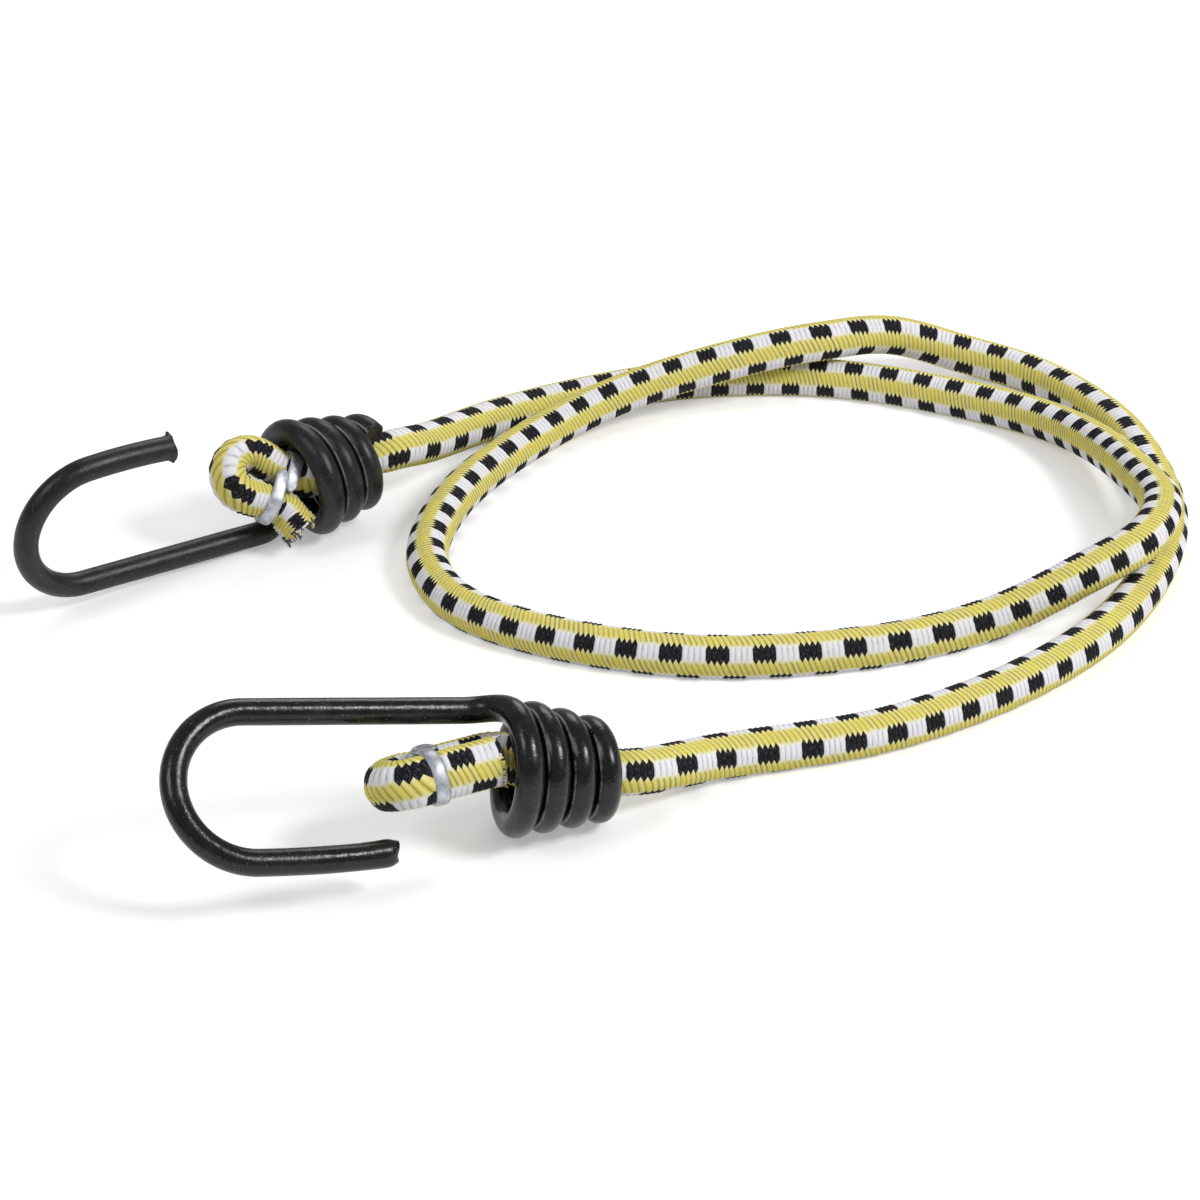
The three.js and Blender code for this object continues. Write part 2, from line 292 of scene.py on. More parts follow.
def smoothRoute(points, perPoint=60):
    points = np.asarray(points, float)
    padded = np.vstack([2 * points[0] - points[1], points, 2 * points[-1] - points[-2]])
    share = np.linspace(0, 1, perPoint, endpoint=False)[:, None]
    made = []
    for p0, p1, p2, p3 in zip(padded[:-3], padded[1:-2], padded[2:-1], padded[3:]):
        d0, d1, d2 = (math.sqrt(np.linalg.norm(b - a)) for a, b in ((p0, p1), (p1, p2), (p2, p3)))
        m1 = ((p1 - p0) / d0 - (p2 - p0) / (d0 + d1) + (p2 - p1) / d1) * d1
        m2 = ((p2 - p1) / d1 - (p3 - p1) / (d1 + d2) + (p3 - p2) / d2) * d1
        made.append(
            p1 + m1 * share
            + (3 * (p2 - p1) - 2 * m1 - m2) * share ** 2
            + (2 * (p1 - p2) + m1 + m2) * share ** 3
        )
    return np.vstack(made + [points[-1:]])


def lengthsAlong(points):
    return np.concatenate([[0], np.cumsum(np.linalg.norm(np.diff(points, axis=0), axis=1))])


def pointsAt(points, distances):
    along = lengthsAlong(points)
    return np.stack([np.interp(distances, along, points[:, axis]) for axis in range(3)], axis=1)


# Soft running mean that keeps to the first and last values
def softened(values, width):
    half = width // 2
    window = np.hanning(width)
    padded = np.concatenate([np.full(half, values[0]), values, np.full(half, values[-1])])
    return np.convolve(padded, window / window.sum(), "valid")


# Values between keys of distance and value, with the corners rounded off
def eased(keys, distances, samples=800, width=41):
    keys = np.array(keys, float)
    fine = np.linspace(keys[0, 0], keys[-1, 0], samples)
    values = np.interp(fine, keys[:, 0], keys[:, 1])
    return np.interp(distances, fine, softened(values, width))


def newCurve(name, bevelSteps):
    curve = bpy.data.curves.new(name, "CURVE")
    curve.dimensions = "3D"
    curve.twist_mode = "MINIMUM"
    curve.bevel_depth = 1.0  # each point's radius is then in metres
    curve.bevel_resolution = bevelSteps
    return curve


def addSpline(curve, points, radii):
    spline = curve.splines.new("POLY")
    spline.points.add(len(points) - 1)
    spline.points.foreach_set("co", np.column_stack([points, np.ones(len(points))]).ravel())
    spline.points.foreach_set("radius", np.broadcast_to(radii, len(points)).astype(float))
    return spline


def meshOf(curve, name):
    holder = place(name + "Curve", curve)
    depsgraph = bpy.context.evaluated_depsgraph_get()
    mesh = bpy.data.meshes.new_from_object(holder.evaluated_get(depsgraph))
    bpy.data.objects.remove(holder)
    bpy.data.curves.remove(curve)
    mesh.name = name
    return mesh


def tube(name, path, radii, sides):
    curve = newCurve(name, (sides - 4) // 2)
    addSpline(curve, path, radii)
    return meshOf(curve, name)


# Numbers the points of a tube's ring from across towards upward
def ringColumns(mesh, centre, across, upward, sides):
    start, second = (np.array(mesh.vertices[index].co) - centre[0] for index in (0, 1))
    handed = np.sign(np.dot(np.cross(start, second), np.cross(across[0], upward[0])))
    return (np.arange(sides) * int(handed)) % sides


def closeEnds(mesh):
    bm = bmesh.new()
    bm.from_mesh(mesh)
    rim = [edge for edge in bm.edges if edge.is_boundary]
    bmesh.ops.holes_fill(bm, edges=rim, sides=0)
    bmesh.ops.recalc_face_normals(bm, faces=bm.faces)
    bm.to_mesh(mesh)
    bm.free()


# Sinks the flat ends of a tube, or the one nearest a point, in steps of thickness and depth
def hollowEnds(mesh, steps, nearest=None):
    bm = bmesh.new()
    bm.from_mesh(mesh)
    caps = [face for face in bm.faces if len(face.verts) > 4]
    if nearest is not None:
        caps = [min(caps, key=lambda face: (face.calc_center_median() - Vector(nearest)).length)]
    for cap in caps:
        for thickness, depth in steps:
            bmesh.ops.inset_region(bm, faces=[cap], thickness=thickness, depth=depth)
        cap.smooth = nearest is not None  # the cut ends of a coat are flat
    bmesh.ops.recalc_face_normals(bm, faces=bm.faces)
    bm.to_mesh(mesh)
    bm.free()


def smoothShaded(mesh):
    mesh.polygons.foreach_set("use_smooth", [True] * len(mesh.polygons))
    mesh.update()


# Ribs of the braid over the nine columns of a quarter turn: a row of checks, then a plain band
ribbing = {
    "height": 0.0002,
    "inside": 0.6,  # share of the height that lies inside the cord's diameter
    "rowShares": [0.3, 0.85, 1, 1, 0.85, 0.3],
    "bandShares": [0.3, 0.8, 0.95, 0.8, 0.3],
    "borderShare": 0.3,
    "lastOfRow": 5,
    "rowMiddle": 25.0,  # degrees past a row's first column
}


# Braided tube: rings that follow the braid's ribs, with rows of checks and plain bands between them
def braidedTube(name, centre, across, upward, ribs, turn, radius, squash=1.0):
    sides, last = cord["sides"], ribbing["lastOfRow"]
    radius = np.broadcast_to(radius, len(centre))[:, None]
    mesh = tube(name, centre, radius[:, 0], sides)
    column = ringColumns(mesh, centre, across, upward, sides)
    inRow = column % (sides // 4)
    rowColumns, bandColumns = np.arange(last + 1), np.arange(last, sides // 4 + 1)
    phase = (ribs + 0.5)[:, None]
    checkRib = np.sin(np.pi * phase) ** 2
    slant = np.clip(inRow - last, 0, None)[None, :] / (sides // 4 - last)
    bandRib = np.sin(np.pi * (phase + 0.5 - slant)) ** 2
    checkShare = np.interp(inRow, rowColumns, ribbing["rowShares"])[None, :]
    bandShare = np.interp(inRow, bandColumns, ribbing["bandShares"])[None, :]
    lift = np.where((inRow > last)[None, :], bandRib * bandShare, checkRib * checkShare)
    lift = np.where(np.isin(inRow, (0, last))[None, :], ribbing["borderShare"] * (checkRib + bandRib), lift)
    reach = radius + ribbing["height"] * (lift - ribbing["inside"])
    angle = np.radians(turn)[:, None] + np.radians(column * 360.0 / sides - ribbing["rowMiddle"])[None, :]
    flatter = (np.cos(angle) * reach * squash)[:, :, None] * across[:, None, :]
    wider = (np.sin(angle) * reach / squash)[:, :, None] * upward[:, None, :]
    spots = centre[:, None, :] + flatter + wider
    spots[:, :, 2] = np.maximum(spots[:, :, 2], cord["underside"])
    mesh.vertices.foreach_set("co", spots.ravel())
    wrapRound(mesh, "braid", column, ribs)
    return mesh


# Lays a strip of UV round a tube: x once round, y along it
def wrapRound(mesh, name, column, along):
    sides = len(column)
    corners = np.empty(len(mesh.loops), dtype=np.int32)
    mesh.loops.foreach_get("vertex_index", corners)
    around = column[corners % sides].astype(float)
    starts = np.empty(len(mesh.polygons), dtype=np.int32)
    mesh.polygons.foreach_get("loop_start", starts)
    quads = starts[:, None] + np.arange(4)[None, :]
    crossing = quads[np.ptp(around[quads], axis=1) > sides / 2]
    around[crossing] += np.where(around[crossing] < sides / 2, sides, 0)
    while mesh.uv_layers:
        mesh.uv_layers.remove(mesh.uv_layers[0])
    layer = mesh.uv_layers.new(name=name)
    layer.data.foreach_set("uv", np.column_stack([around / sides, along[corners // sides]]).ravel())
    closeEnds(mesh)
    smoothShaded(mesh)


# Tube of a flat or round section along a line, as wide and thick as it is told at each point
def sweptTube(name, centre, across, upward, halfAcross, halfUp, sides, fullness=1.0):
    halfAcross, halfUp = (np.broadcast_to(half, len(centre))[:, None] for half in (halfAcross, halfUp))
    mesh = tube(name, centre, halfAcross[:, 0], sides)
    column = ringColumns(mesh, centre, across, upward, sides)
    angle = np.radians(column * 360.0 / sides)[None, :]
    cosine, sine = (np.sign(wave) * np.abs(wave) ** fullness for wave in (np.cos(angle), np.sin(angle)))
    spots = centre[:, None, :] + (cosine * halfAcross)[:, :, None] * across[:, None, :]
    spots = spots + (sine * halfUp)[:, :, None] * upward[:, None, :]
    mesh.vertices.foreach_set("co", spots.ravel())
    return mesh, column


def tangents(points):
    tangent = np.gradient(points, axis=0)
    return tangent / np.linalg.norm(tangent, axis=1)[:, None]


def uprightFrames(points, up):
    tangent = tangents(points)
    across = np.cross(np.broadcast_to(up, tangent.shape), tangent)
    across /= np.linalg.norm(across, axis=1)[:, None]
    return across, np.cross(tangent, across)


def mainRoute():
    inCoil = [(cord["splitAt"], 0, 0), (cord["exitAt"], 0, 0)]
    ends = [moved(inCoil, hookMatrix(hook)) for hook in (hookA, hookB)]
    lying = [(x, y, cord["lying"] + lift * cord["layer"]) for x, y, lift in cord["route"]]
    path = smoothRoute(np.vstack([ends[0], lying, ends[1][::-1]]))
    path[:, 2] = np.maximum(path[:, 2], cord["lying"])
    return path


def cordRings():
    path = mainRoute()
    total = lengthsAlong(path)[-1]
    distance = np.linspace(0, total, cord["samples"])
    count = eased(cord["checkCount"], distance) * cord["ribsPerCheck"] - 0.5
    ribs = np.arange(math.ceil(count[0]), count[-1], 1.0 / cord["ringsPerRib"])
    spots = np.interp(ribs, count, distance)
    return pointsAt(path, spots), ribs, spots, total


def addPiece(name, mesh, material, body):
    mesh.materials.clear()
    mesh.materials.append(material)
    piece = place(name, mesh)
    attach(piece, body)
    return piece


# Braided jacket: yellow ground, rows of black and white checks with saw-toothed edges
braid = {
    "yellow": (0.79, 0.70, 0.17, 1.0),
    # painted shade in the grooves between yellow strokes, also the deep blotches of the yellow yarn
    "yellowGrooveShadeAndMottle": (0.30, 0.235, 0.022, 1.0),
    # painted highlight on the crests of yellow strokes and on their ends
    "yellowPaintedHighlight": (0.90, 0.86, 0.50, 1.0),
    "white": (0.89, 0.88, 0.91, 1.0),
    # painted shade in the grooves between white strokes, also the deep blotches of the white yarn
    "whiteGrooveShadeAndMottle": (0.38, 0.36, 0.44, 1.0),
    "black": (0.004, 0.0038, 0.005, 1.0),
    "blackFibre": (0.1, 0.096, 0.12, 1.0),
    "rowCentre": 5 / 18,  # of a quarter of the way round
    "rowHalf": 0.25,
    "tooth": 0.15,
    "toothJitter": 0.04,
    "blackEdge": (-0.012, 0.012),  # how softly a row ends
    "whiteEdge": (-0.05, 0.04),
    "rowPhases": [0.25, 0.625, 0.0, 0.0],
    "fibresAround": 22.0,
    "fibresAlong": 5.0,
    "fibreNoise": (1.6, 3.0),  # scale and detail
    "fibreTone": 0.7,
    "strokeTone": 0.4,
    "bandGroove": 3.5,  # powers: larger is a narrower groove of painted shade
    "checkGroove": 3.2,
    "crestHighlight": 0.75,  # strength of the painted highlight on a yellow stroke's crest and on its end
    "strokeEndHighlight": 0.85,
    # where each shade begins and where it is full
    "yellowShade": (0.0, 1.1),
    "crestGroove": (0.6, 0.0),
    "crestChance": (0.2, 1.0),
    "endReach": (-0.05, 0.11),  # from the edge of a row
    "endGroove": (1.0, 0.2),
    "whiteShade": (0.05, 1.1),
    "whiteGrooveShade": (0.7, 0.45),  # share of chance, base
    # pale streaks on the crests of black strokes: partly fibre colour, partly painted sheen
    "blackStreakAndSheen": (0.5, 0.72),
    "roughness": (0.25, 0.55),  # share of the fibre, base
    "bump": (0.0002, 0.7),  # distance, strength
    "specular": 0.14,
}


def jacketMaterial():
    material, tree, shader = newTree("braidedJacket")
    uv = addNode(tree, "ShaderNodeUVMap", uv_map="braid")
    split = addNode(tree, "ShaderNodeSeparateXYZ", {0: uv.outputs[0]})
    around, along = split.outputs[0], split.outputs[1]
    quarter = calc(tree, "MULTIPLY", around, 4.0)
    nearest = calc(tree, "FLOOR", calc(tree, "ADD", quarter, 0.5 - braid["rowCentre"]))
    row = calc(tree, "WRAP", nearest, 4.0, 0.0)
    within = calc(tree, "FRACT", quarter)
    offset = calc(tree, "WRAP", calc(tree, "SUBTRACT", within, braid["rowCentre"]), 0.5, -0.5)

    # strokes of yarn: straight in the rows, slanted and half a stroke on in the bands
    rib = calc(tree, "FLOOR", calc(tree, "ADD", along, 0.5))
    checkPhase = calc(tree, "FRACT", calc(tree, "ADD", along, 0.5))
    checkGroove = calc(tree, "ABSOLUTE", calc(tree, "MULTIPLY_ADD", checkPhase, 2.0, -1.0))
    slant = clamped(tree, within, 2 * braid["rowCentre"], 1.0)
    stroke = calc(tree, "SUBTRACT", along, slant)
    bandGroove = calc(tree, "ABSOLUTE", calc(tree, "MULTIPLY_ADD", calc(tree, "FRACT", stroke), 2.0, -1.0))
    fibreSpace = addNode(tree, "ShaderNodeCombineXYZ", {
        0: calc(tree, "MULTIPLY", around, braid["fibresAround"]),
        1: calc(tree, "MULTIPLY", stroke, braid["fibresAlong"]),
    })
    fibre = addNoise(tree, fibreSpace.outputs[0], *braid["fibreNoise"])
    toothSeed = addNode(tree, "ShaderNodeCombineXYZ", {0: rib, 1: nearest, 2: calc(tree, "SIGN", offset)})
    toothChance = addNode(tree, "ShaderNodeTexWhiteNoise", {"Vector": toothSeed.outputs[0]}).outputs[0]
    bandSeed = addNode(tree, "ShaderNodeCombineXYZ", {
        0: calc(tree, "FLOOR", stroke), 1: calc(tree, "FLOOR", quarter),
    })
    bandChance = addNode(tree, "ShaderNodeTexWhiteNoise", {"Vector": bandSeed.outputs[0]}).outputs[0]

    # where the rows are: black ends in sharp teeth, white fades into the yellow
    tooth, half, jitter = braid["tooth"], braid["rowHalf"], braid["toothJitter"]
    uneven = calc(tree, "MULTIPLY_ADD", toothChance, jitter, -jitter / 2)
    fromRow = calc(tree, "ADD", calc(tree, "ABSOLUTE", offset), uneven)
    teeth = calc(tree, "MULTIPLY_ADD", checkGroove, -tooth, half + tooth / 2)
    blackRow = clamped(tree, calc(tree, "SUBTRACT", teeth, fromRow), *braid["blackEdge"])
    soft = calc(tree, "MULTIPLY_ADD", checkGroove, -tooth / 2, half + tooth / 8)
    whiteRow = clamped(tree, calc(tree, "SUBTRACT", soft, fromRow), *braid["whiteEdge"])
    shift = 0.0
    for index, phase in enumerate(braid["rowPhases"]):
        here = calc(tree, "MULTIPLY", calc(tree, "COMPARE", row, float(index), 0.1), phase)
        shift = calc(tree, "ADD", here, shift)
    check = calc(tree, "MULTIPLY_ADD", along, 1.0 / cord["ribsPerCheck"], 0.25 + 0.5 / cord["ribsPerCheck"])
    blackCheck = calc(tree, "LESS_THAN", calc(tree, "FRACT", calc(tree, "SUBTRACT", check, shift)), 0.5)

    # colours: painted shade darkens the grooves between strokes; painted highlights pale the crests of the yellow
    # strokes and their ends between the teeth
    tone = calc(tree, "MULTIPLY_ADD", fibre, braid["fibreTone"], -braid["fibreTone"] / 2)
    strokeTone = calc(tree, "MULTIPLY_ADD", bandChance, braid["strokeTone"], -braid["strokeTone"] / 2)
    bandTone = calc(tree, "ADD", tone, strokeTone)
    # painted shade in the grooves between yellow strokes, mixed with random tone
    bandGrooveShadeAndTone = calc(tree, "ADD", calc(tree, "POWER", bandGroove, braid["bandGroove"]), bandTone)
    yellowShade = clamped(tree, bandGrooveShadeAndTone, *braid["yellowShade"])
    yellow = mixColour(tree, yellowShade, braid["yellow"], braid["yellowGrooveShadeAndMottle"])
    # painted highlight on the crest of each yellow stroke
    crestHighlight = clamped(tree, bandGroove, *braid["crestGroove"])
    crestHighlight = calc(tree, "MULTIPLY", crestHighlight, clamped(tree, bandChance, *braid["crestChance"]))
    yellow = mixColour(tree, calc(tree, "MULTIPLY", crestHighlight, braid["crestHighlight"]), yellow, braid["yellowPaintedHighlight"])
    # painted highlight where a yellow stroke ends beside a row of checks
    tip = calc(tree, "SUBTRACT", 1.0, clamped(tree, fromRow, *(half + reach for reach in braid["endReach"])))
    tip = calc(tree, "MULTIPLY", tip, clamped(tree, bandGroove, *braid["endGroove"]))
    yellow = mixColour(tree, calc(tree, "MULTIPLY", tip, braid["strokeEndHighlight"]), yellow, braid["yellowPaintedHighlight"])
    # painted shade in the grooves between the strokes of the checks, deeper in some strokes at random
    checkGrooveShade = calc(tree, "POWER", checkGroove, braid["checkGroove"])
    whiteGrooveShade = calc(tree, "MULTIPLY_ADD", toothChance, *braid["whiteGrooveShade"])
    whiteGrooveShade = calc(tree, "MULTIPLY", checkGrooveShade, whiteGrooveShade)
    whiteShade = clamped(tree, calc(tree, "ADD", whiteGrooveShade, tone), *braid["whiteShade"])
    white = mixColour(tree, whiteShade, braid["white"], braid["whiteGrooveShadeAndMottle"])
    # pale grey-violet streaks on the crests of the black strokes, partly fibre colour and partly painted sheen;
    # none in the grooves
    fibreStreakAndSheen = clamped(tree, fibre, *braid["blackStreakAndSheen"])
    fibreStreakAndSheen = calc(tree, "MULTIPLY", fibreStreakAndSheen, calc(tree, "SUBTRACT", 1.0, checkGrooveShade))
    black = mixColour(tree, fibreStreakAndSheen, braid["black"], braid["blackFibre"])
    pale = mixColour(tree, whiteRow, yellow, white)
    dark = mixColour(tree, blackRow, yellow, black)
    tree.links.new(mixColour(tree, blackCheck, pale, dark), shader.inputs["Base Color"])
    tree.links.new(calc(tree, "MULTIPLY_ADD", fibre, *braid["roughness"]), shader.inputs["Roughness"])
    emboss(tree, shader, fibre, *braid["bump"])
    shader.inputs["Specular IOR Level"].default_value = braid["specular"]
    return material


def addCord(material):
    centre, ribs, spots, total = cordRings()
    across, upward = uprightFrames(centre, (0.0, 0.0, 1.0))
    turn = eased(cord["rowTurn"], spots)
    fromEnd = np.minimum(spots, total - spots)
    squeeze = np.clip((cord["coilEnd"] - fromEnd) / cord["squeezeOver"], 0, 1)
    radius = cord["diameter"] / 2 - cord["squeeze"] * squeeze * squeeze * (3 - 2 * squeeze)
    cutA = int(np.searchsorted(spots, cord["runA"]))
    cutB = int(np.searchsorted(spots, total - cord["runB"]))
    pieces, paths = {}, {}
    for name, first, last in (("cordRunA", 0, cutA), ("cordLoop", cutA, cutB), ("cordRunB", cutB, len(ribs) - 1)):
        part = slice(first, last + 1)
        mesh = braidedTube(name, centre[part], across[part], upward[part], ribs[part], turn[part], radius[part])
        mesh.materials.append(material)
        pieces[name], paths[name] = place(name, mesh), centre[part]
    loop = pieces["cordLoop"]
    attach(loop, "cord")
    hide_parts("jacket_main", *["core_strand_main_%d" % index for index in range(7)])
    for name, hook, start, near in (("cordRunA", "end_a", cutA, 0), ("cordRunB", "end_b", cutB, -1)):
        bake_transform(pieces[name])
        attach(pieces[name], "cord")
    print("cord made,", round(total, 3), "m between the hooks")


jacket = jacketMaterial()
addCord(jacket)


def minimalFrames(points, startUp):
    tangent = tangents(points)
    upward = np.empty_like(points)
    current = np.array(startUp, float)
    for index, way in enumerate(tangent):
        current = current - way * current.dot(way)
        current /= np.linalg.norm(current)
        upward[index] = current
    return np.cross(upward, tangent), upward


def bezier(first, firstWay, last, lastWay, steps, fullness=0.43):
    reach = np.linalg.norm(last - first) * fullness
    share = np.linspace(0, 1, steps, endpoint=False)[:, None]
    near, far = first + firstWay * reach, last - lastWay * reach
    rest = 1 - share
    return first * rest ** 3 + 3 * near * rest ** 2 * share + 3 * far * rest * share ** 2 + last * share ** 3


def line(first, last, steps):
    share = np.linspace(0, 1, steps, endpoint=False)[:, None]
    return first * (1 - share) + last * share


# Hook: coated wire from the cut tip round the J to the small end of the coil
wire = {
    "radius": 0.0023,
    "steelRadius": 0.00175,
    "coilRadius": 0.00243,  # the coat is thicker where the turns touch
    "thickenFrom": 0.012,  # before the coil
    "thickenOver": 0.014,
    "wobble": 0.005,  # unevenness of the coat, as a share of its radius
    "wobbleRings": 14,
    "sides": 28,
    "spacing": 0.0005,
    "steelSides": 16,
    "steelRings": 260,
    "shankFrom": (0.007, 0.0, 0.0098),
    "shankTo": (0.0452, 0.0, 0.00793),
    "bendRadius": 0.01295,
    "pitch": 0.005,
    "mouthRadius": 0.0098,
    "endRadius": 0.0064,
    "startAngle": 50,
    "tipOverhang": 0.0013,  # coat past the wire at the tip of the hook
    "overhang": 0.0005,  # and at the small end of the coil
    "steps": {"leg": 60, "bend": 160, "shank": 80, "lead": 60, "coil": 900},
}


# The middle of the wire, and how far along it the coil starts
def hookLine(hook):
    steps = wire["steps"]
    shankFrom, shankTo = np.array(wire["shankFrom"]), np.array(wire["shankTo"])
    along = (shankTo - shankFrom) / np.linalg.norm(shankTo - shankFrom)
    towardsLeg = np.array([along[2], 0.0, -along[0]])
    bendCentre = shankTo + towardsLeg * wire["bendRadius"]
    legTurn = math.radians(hook["legTurn"])
    sweep = math.pi + math.radians(hook["bendClosing"]) - legTurn

    def arc(centre, radius, first, last, count):
        angle = np.linspace(first, last, count, endpoint=False)[:, None]
        return centre + radius * (along * np.sin(angle) - towardsLeg * np.cos(angle))

    bend = arc(bendCentre, wire["bendRadius"], sweep, 0, steps["bend"])
    legRadius = hook["leg"] / legTurn
    legCentre = bend[0] + (bendCentre - bend[0]) * legRadius / wire["bendRadius"]
    leg = arc(legCentre, legRadius, sweep + legTurn + wire["tipOverhang"] / legRadius, sweep, steps["leg"])
    turn = np.linspace(0, hook["turns"], steps["coil"])
    start = math.radians(wire["startAngle"])
    around = start + 2 * math.pi * turn
    reach = wire["mouthRadius"] + (wire["endRadius"] - wire["mouthRadius"]) * turn / hook["turns"]
    coil = np.stack([-wire["pitch"] * turn, reach * np.sin(around), reach * np.cos(around)], axis=1)
    into = np.array([-wire["pitch"] / (2 * math.pi * wire["mouthRadius"]), math.cos(start), -math.sin(start)])
    into /= np.linalg.norm(into)
    last = coil[-1] - coil[-2]
    end = coil[-1] + last / np.linalg.norm(last) * wire["overhang"]
    shank = line(shankTo, shankFrom, steps["shank"])
    lead = bezier(shankFrom, -along, coil[0], into, steps["lead"])
    path = np.vstack([leg, bend, shank, lead, coil, end[None, :]])
    coilFrom = len(leg) + len(bend) + len(shank) + len(lead)
    return path, lengthsAlong(path)[coilFrom]


def softNoise(count, seed, softness):
    values = np.random.default_rng(seed).normal(size=count + 4 * softness)
    window = np.hanning(2 * softness + 1)
    smooth = np.convolve(values, window / np.sqrt((window ** 2).sum()), "same")
    return smooth[2 * softness:2 * softness + count]


def addHook(hook, material):
    sides = wire["sides"]
    tip = tips[hook["name"]]
    path, coilFrom = hookLine(hook)
    total = lengthsAlong(path)[-1]
    along = np.linspace(0, total, int(total / wire["spacing"]))
    centre = pointsAt(path, along)
    across, upward = minimalFrames(centre, (0.0, 1.0, 0.0))
    thicker = np.clip((along - coilFrom + wire["thickenFrom"]) / wire["thickenOver"], 0, 1)
    radius = wire["radius"] + (wire["coilRadius"] - wire["radius"]) * thicker
    radius = radius * (1 + wire["wobble"] * softNoise(len(along), tip["coatSeed"], wire["wobbleRings"]))
    mesh, column = sweptTube("hookCoat" + hook["name"].upper(), centre, across, upward, radius, radius, sides)
    spots = np.empty(len(mesh.vertices) * 3)
    mesh.vertices.foreach_get("co", spots)
    spots = spots.reshape(len(centre), sides, 3)
    gap = seamGaps(spots, centre, along, coilFrom)
    cutEnd(spots, centre, along, column, tip)
    mesh.vertices.foreach_set("co", moved(spots.reshape(-1, 3), hookMatrix(hook)).ravel())
    mesh.attributes.new("seam", "FLOAT", "POINT").data.foreach_set("value", gap.ravel())
    wrapRound(mesh, "wire", column, along * 1000)
    hollowEnds(mesh, cutLip["hollow"])
    piece = addPiece(mesh.name, mesh, material, "hook_" + hook["name"])
    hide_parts("hook_coating_" + hook["name"])


seams = {
    "lead": 0.02,  # of the wire before the coil may touch a turn
    "turnRadius": 0.006,
    "turnShare": 0.6,  # of a turn, nearer than which is the same turn
    "farthest": 2.0,
}


# How far each point of the coat is from the next turn, in millimetres
def seamGaps(spots, centre, along, coilFrom):
    gap = np.full(spots.shape[:2], seams["farthest"])
    sameTurn = 2 * math.pi * seams["turnRadius"] * seams["turnShare"]
    first = int(np.searchsorted(along, coilFrom - seams["lead"]))
    for index in range(first, len(centre)):
        others = centre[first:][np.abs(along[first:] - along[index]) > sameTurn]
        if len(others):
            away = np.linalg.norm(spots[index][:, None, :] - others[None, :, :], axis=2).min(axis=1)
            gap[index] = np.clip((away - wire["coilRadius"]) * 1000, 0, seams["farthest"])
    return gap


# The coat's cut lip at the tip of the hook: flared and uneven, with burrs
cutLip = {
    "waves": (1, 2, 3, 5),
    "unevenLimits": (-0.05, 0.12),
    "unevenBack": 4,  # rings
    "ringShares": (1.0, 0.5, 0.2, 0.06),
    "swellingOver": 0.0035,
    "swellingReach": 0.006,
    "swellingWidth": 1.0,
    "hollow": [(0.00045, -0.0001), (0.0002, -0.00025)],  # steps down to the wire in each cut end
}

# burrs: angle, width, size
tips = {
    "a": {"coatSeed": 1, "lipSeed": 8, "flare": 0.06, "uneven": 0.04, "swelling": 0.0, "swollen": 0.0,
          "burrs": [(0.58, 0.16, 0.5), (3.72, 0.18, 0.3), (3.3, 0.15, 0.16)]},
    "b": {"coatSeed": 2, "lipSeed": 9, "flare": -0.36, "uneven": 0.05, "swelling": 0.12, "swollen": 2.6,
          "burrs": [(2.4, 0.5, 0.08), (5.6, 0.4, 0.06)]},
}


def cutEnd(spots, centre, along, column, tip):
    rng = np.random.default_rng(tip["lipSeed"])
    angle = np.radians(column * 360.0 / len(column))
    uneven = sum(
        rng.normal(0, tip["uneven"]) * np.cos(order * angle + rng.uniform(0, 6.28))
        for order in cutLip["waves"]
    )

    def near(spot, width):
        return np.exp(-(np.angle(np.exp(1j * (angle - spot))) / width) ** 2)

    def widen(ring, amount):
        spots[ring] = centre[ring] + (spots[ring] - centre[ring]) * amount[:, None]

    swelling = tip["swelling"] * near(tip["swollen"], cutLip["swellingWidth"])
    for ring in range(int(cutLip["swellingReach"] / wire["spacing"])):
        widen(ring, 1 + math.exp(-(along[ring] / cutLip["swellingOver"]) ** 2) * swelling)
    for ring, share in enumerate(cutLip["ringShares"]):
        burr = sum(size * near(spot, width) for spot, width, size in tip["burrs"]) * share
        widen(ring, 1 + share * (tip["flare"] + np.clip(uneven, *cutLip["unevenLimits"])) + burr * share)
    back = centre[0] - centre[1]
    spots[0] += back[None, :] * (uneven * cutLip["unevenBack"])[:, None]


vinylLook = {
    "black": (0.0028, 0.0028, 0.0038, 1.0),
    "dusty": (0.014, 0.014, 0.017, 1.0),
    # pale grey: painted highlight along the seams between turns, also the dust specks
    "seamHighlightAndSpeck": (0.32, 0.32, 0.325, 1.0),
    "dull": 0.27,  # roughness of the coat of hook A
    "glossy": 0.1,  # and of hook B
    "blotchRoughness": 0.3,
    "grain": (1500.0, 3.0),  # noises: scale, detail, roughness
    "blotch": (260.0, 4.0, 0.6),
    "ripple": (420.0, 1.0),
    "speck": (3200.0, 1.0),
    "dustRange": (0.48, 0.75),  # of the blotches and specks, from none to full
    "seamHighlightRange": (0.36, 0.54),
    "speckRange": (0.7, 0.78),
    "speckShare": 0.5,
    "seamGap": 0.85,  # millimetres from the next turn at which a painted highlight lines the seam
    "seamWidth": 0.22,
    "grainHeight": 0.55,
    "bump": (0.00022, 0.35),
    "specular": 0.42,
}


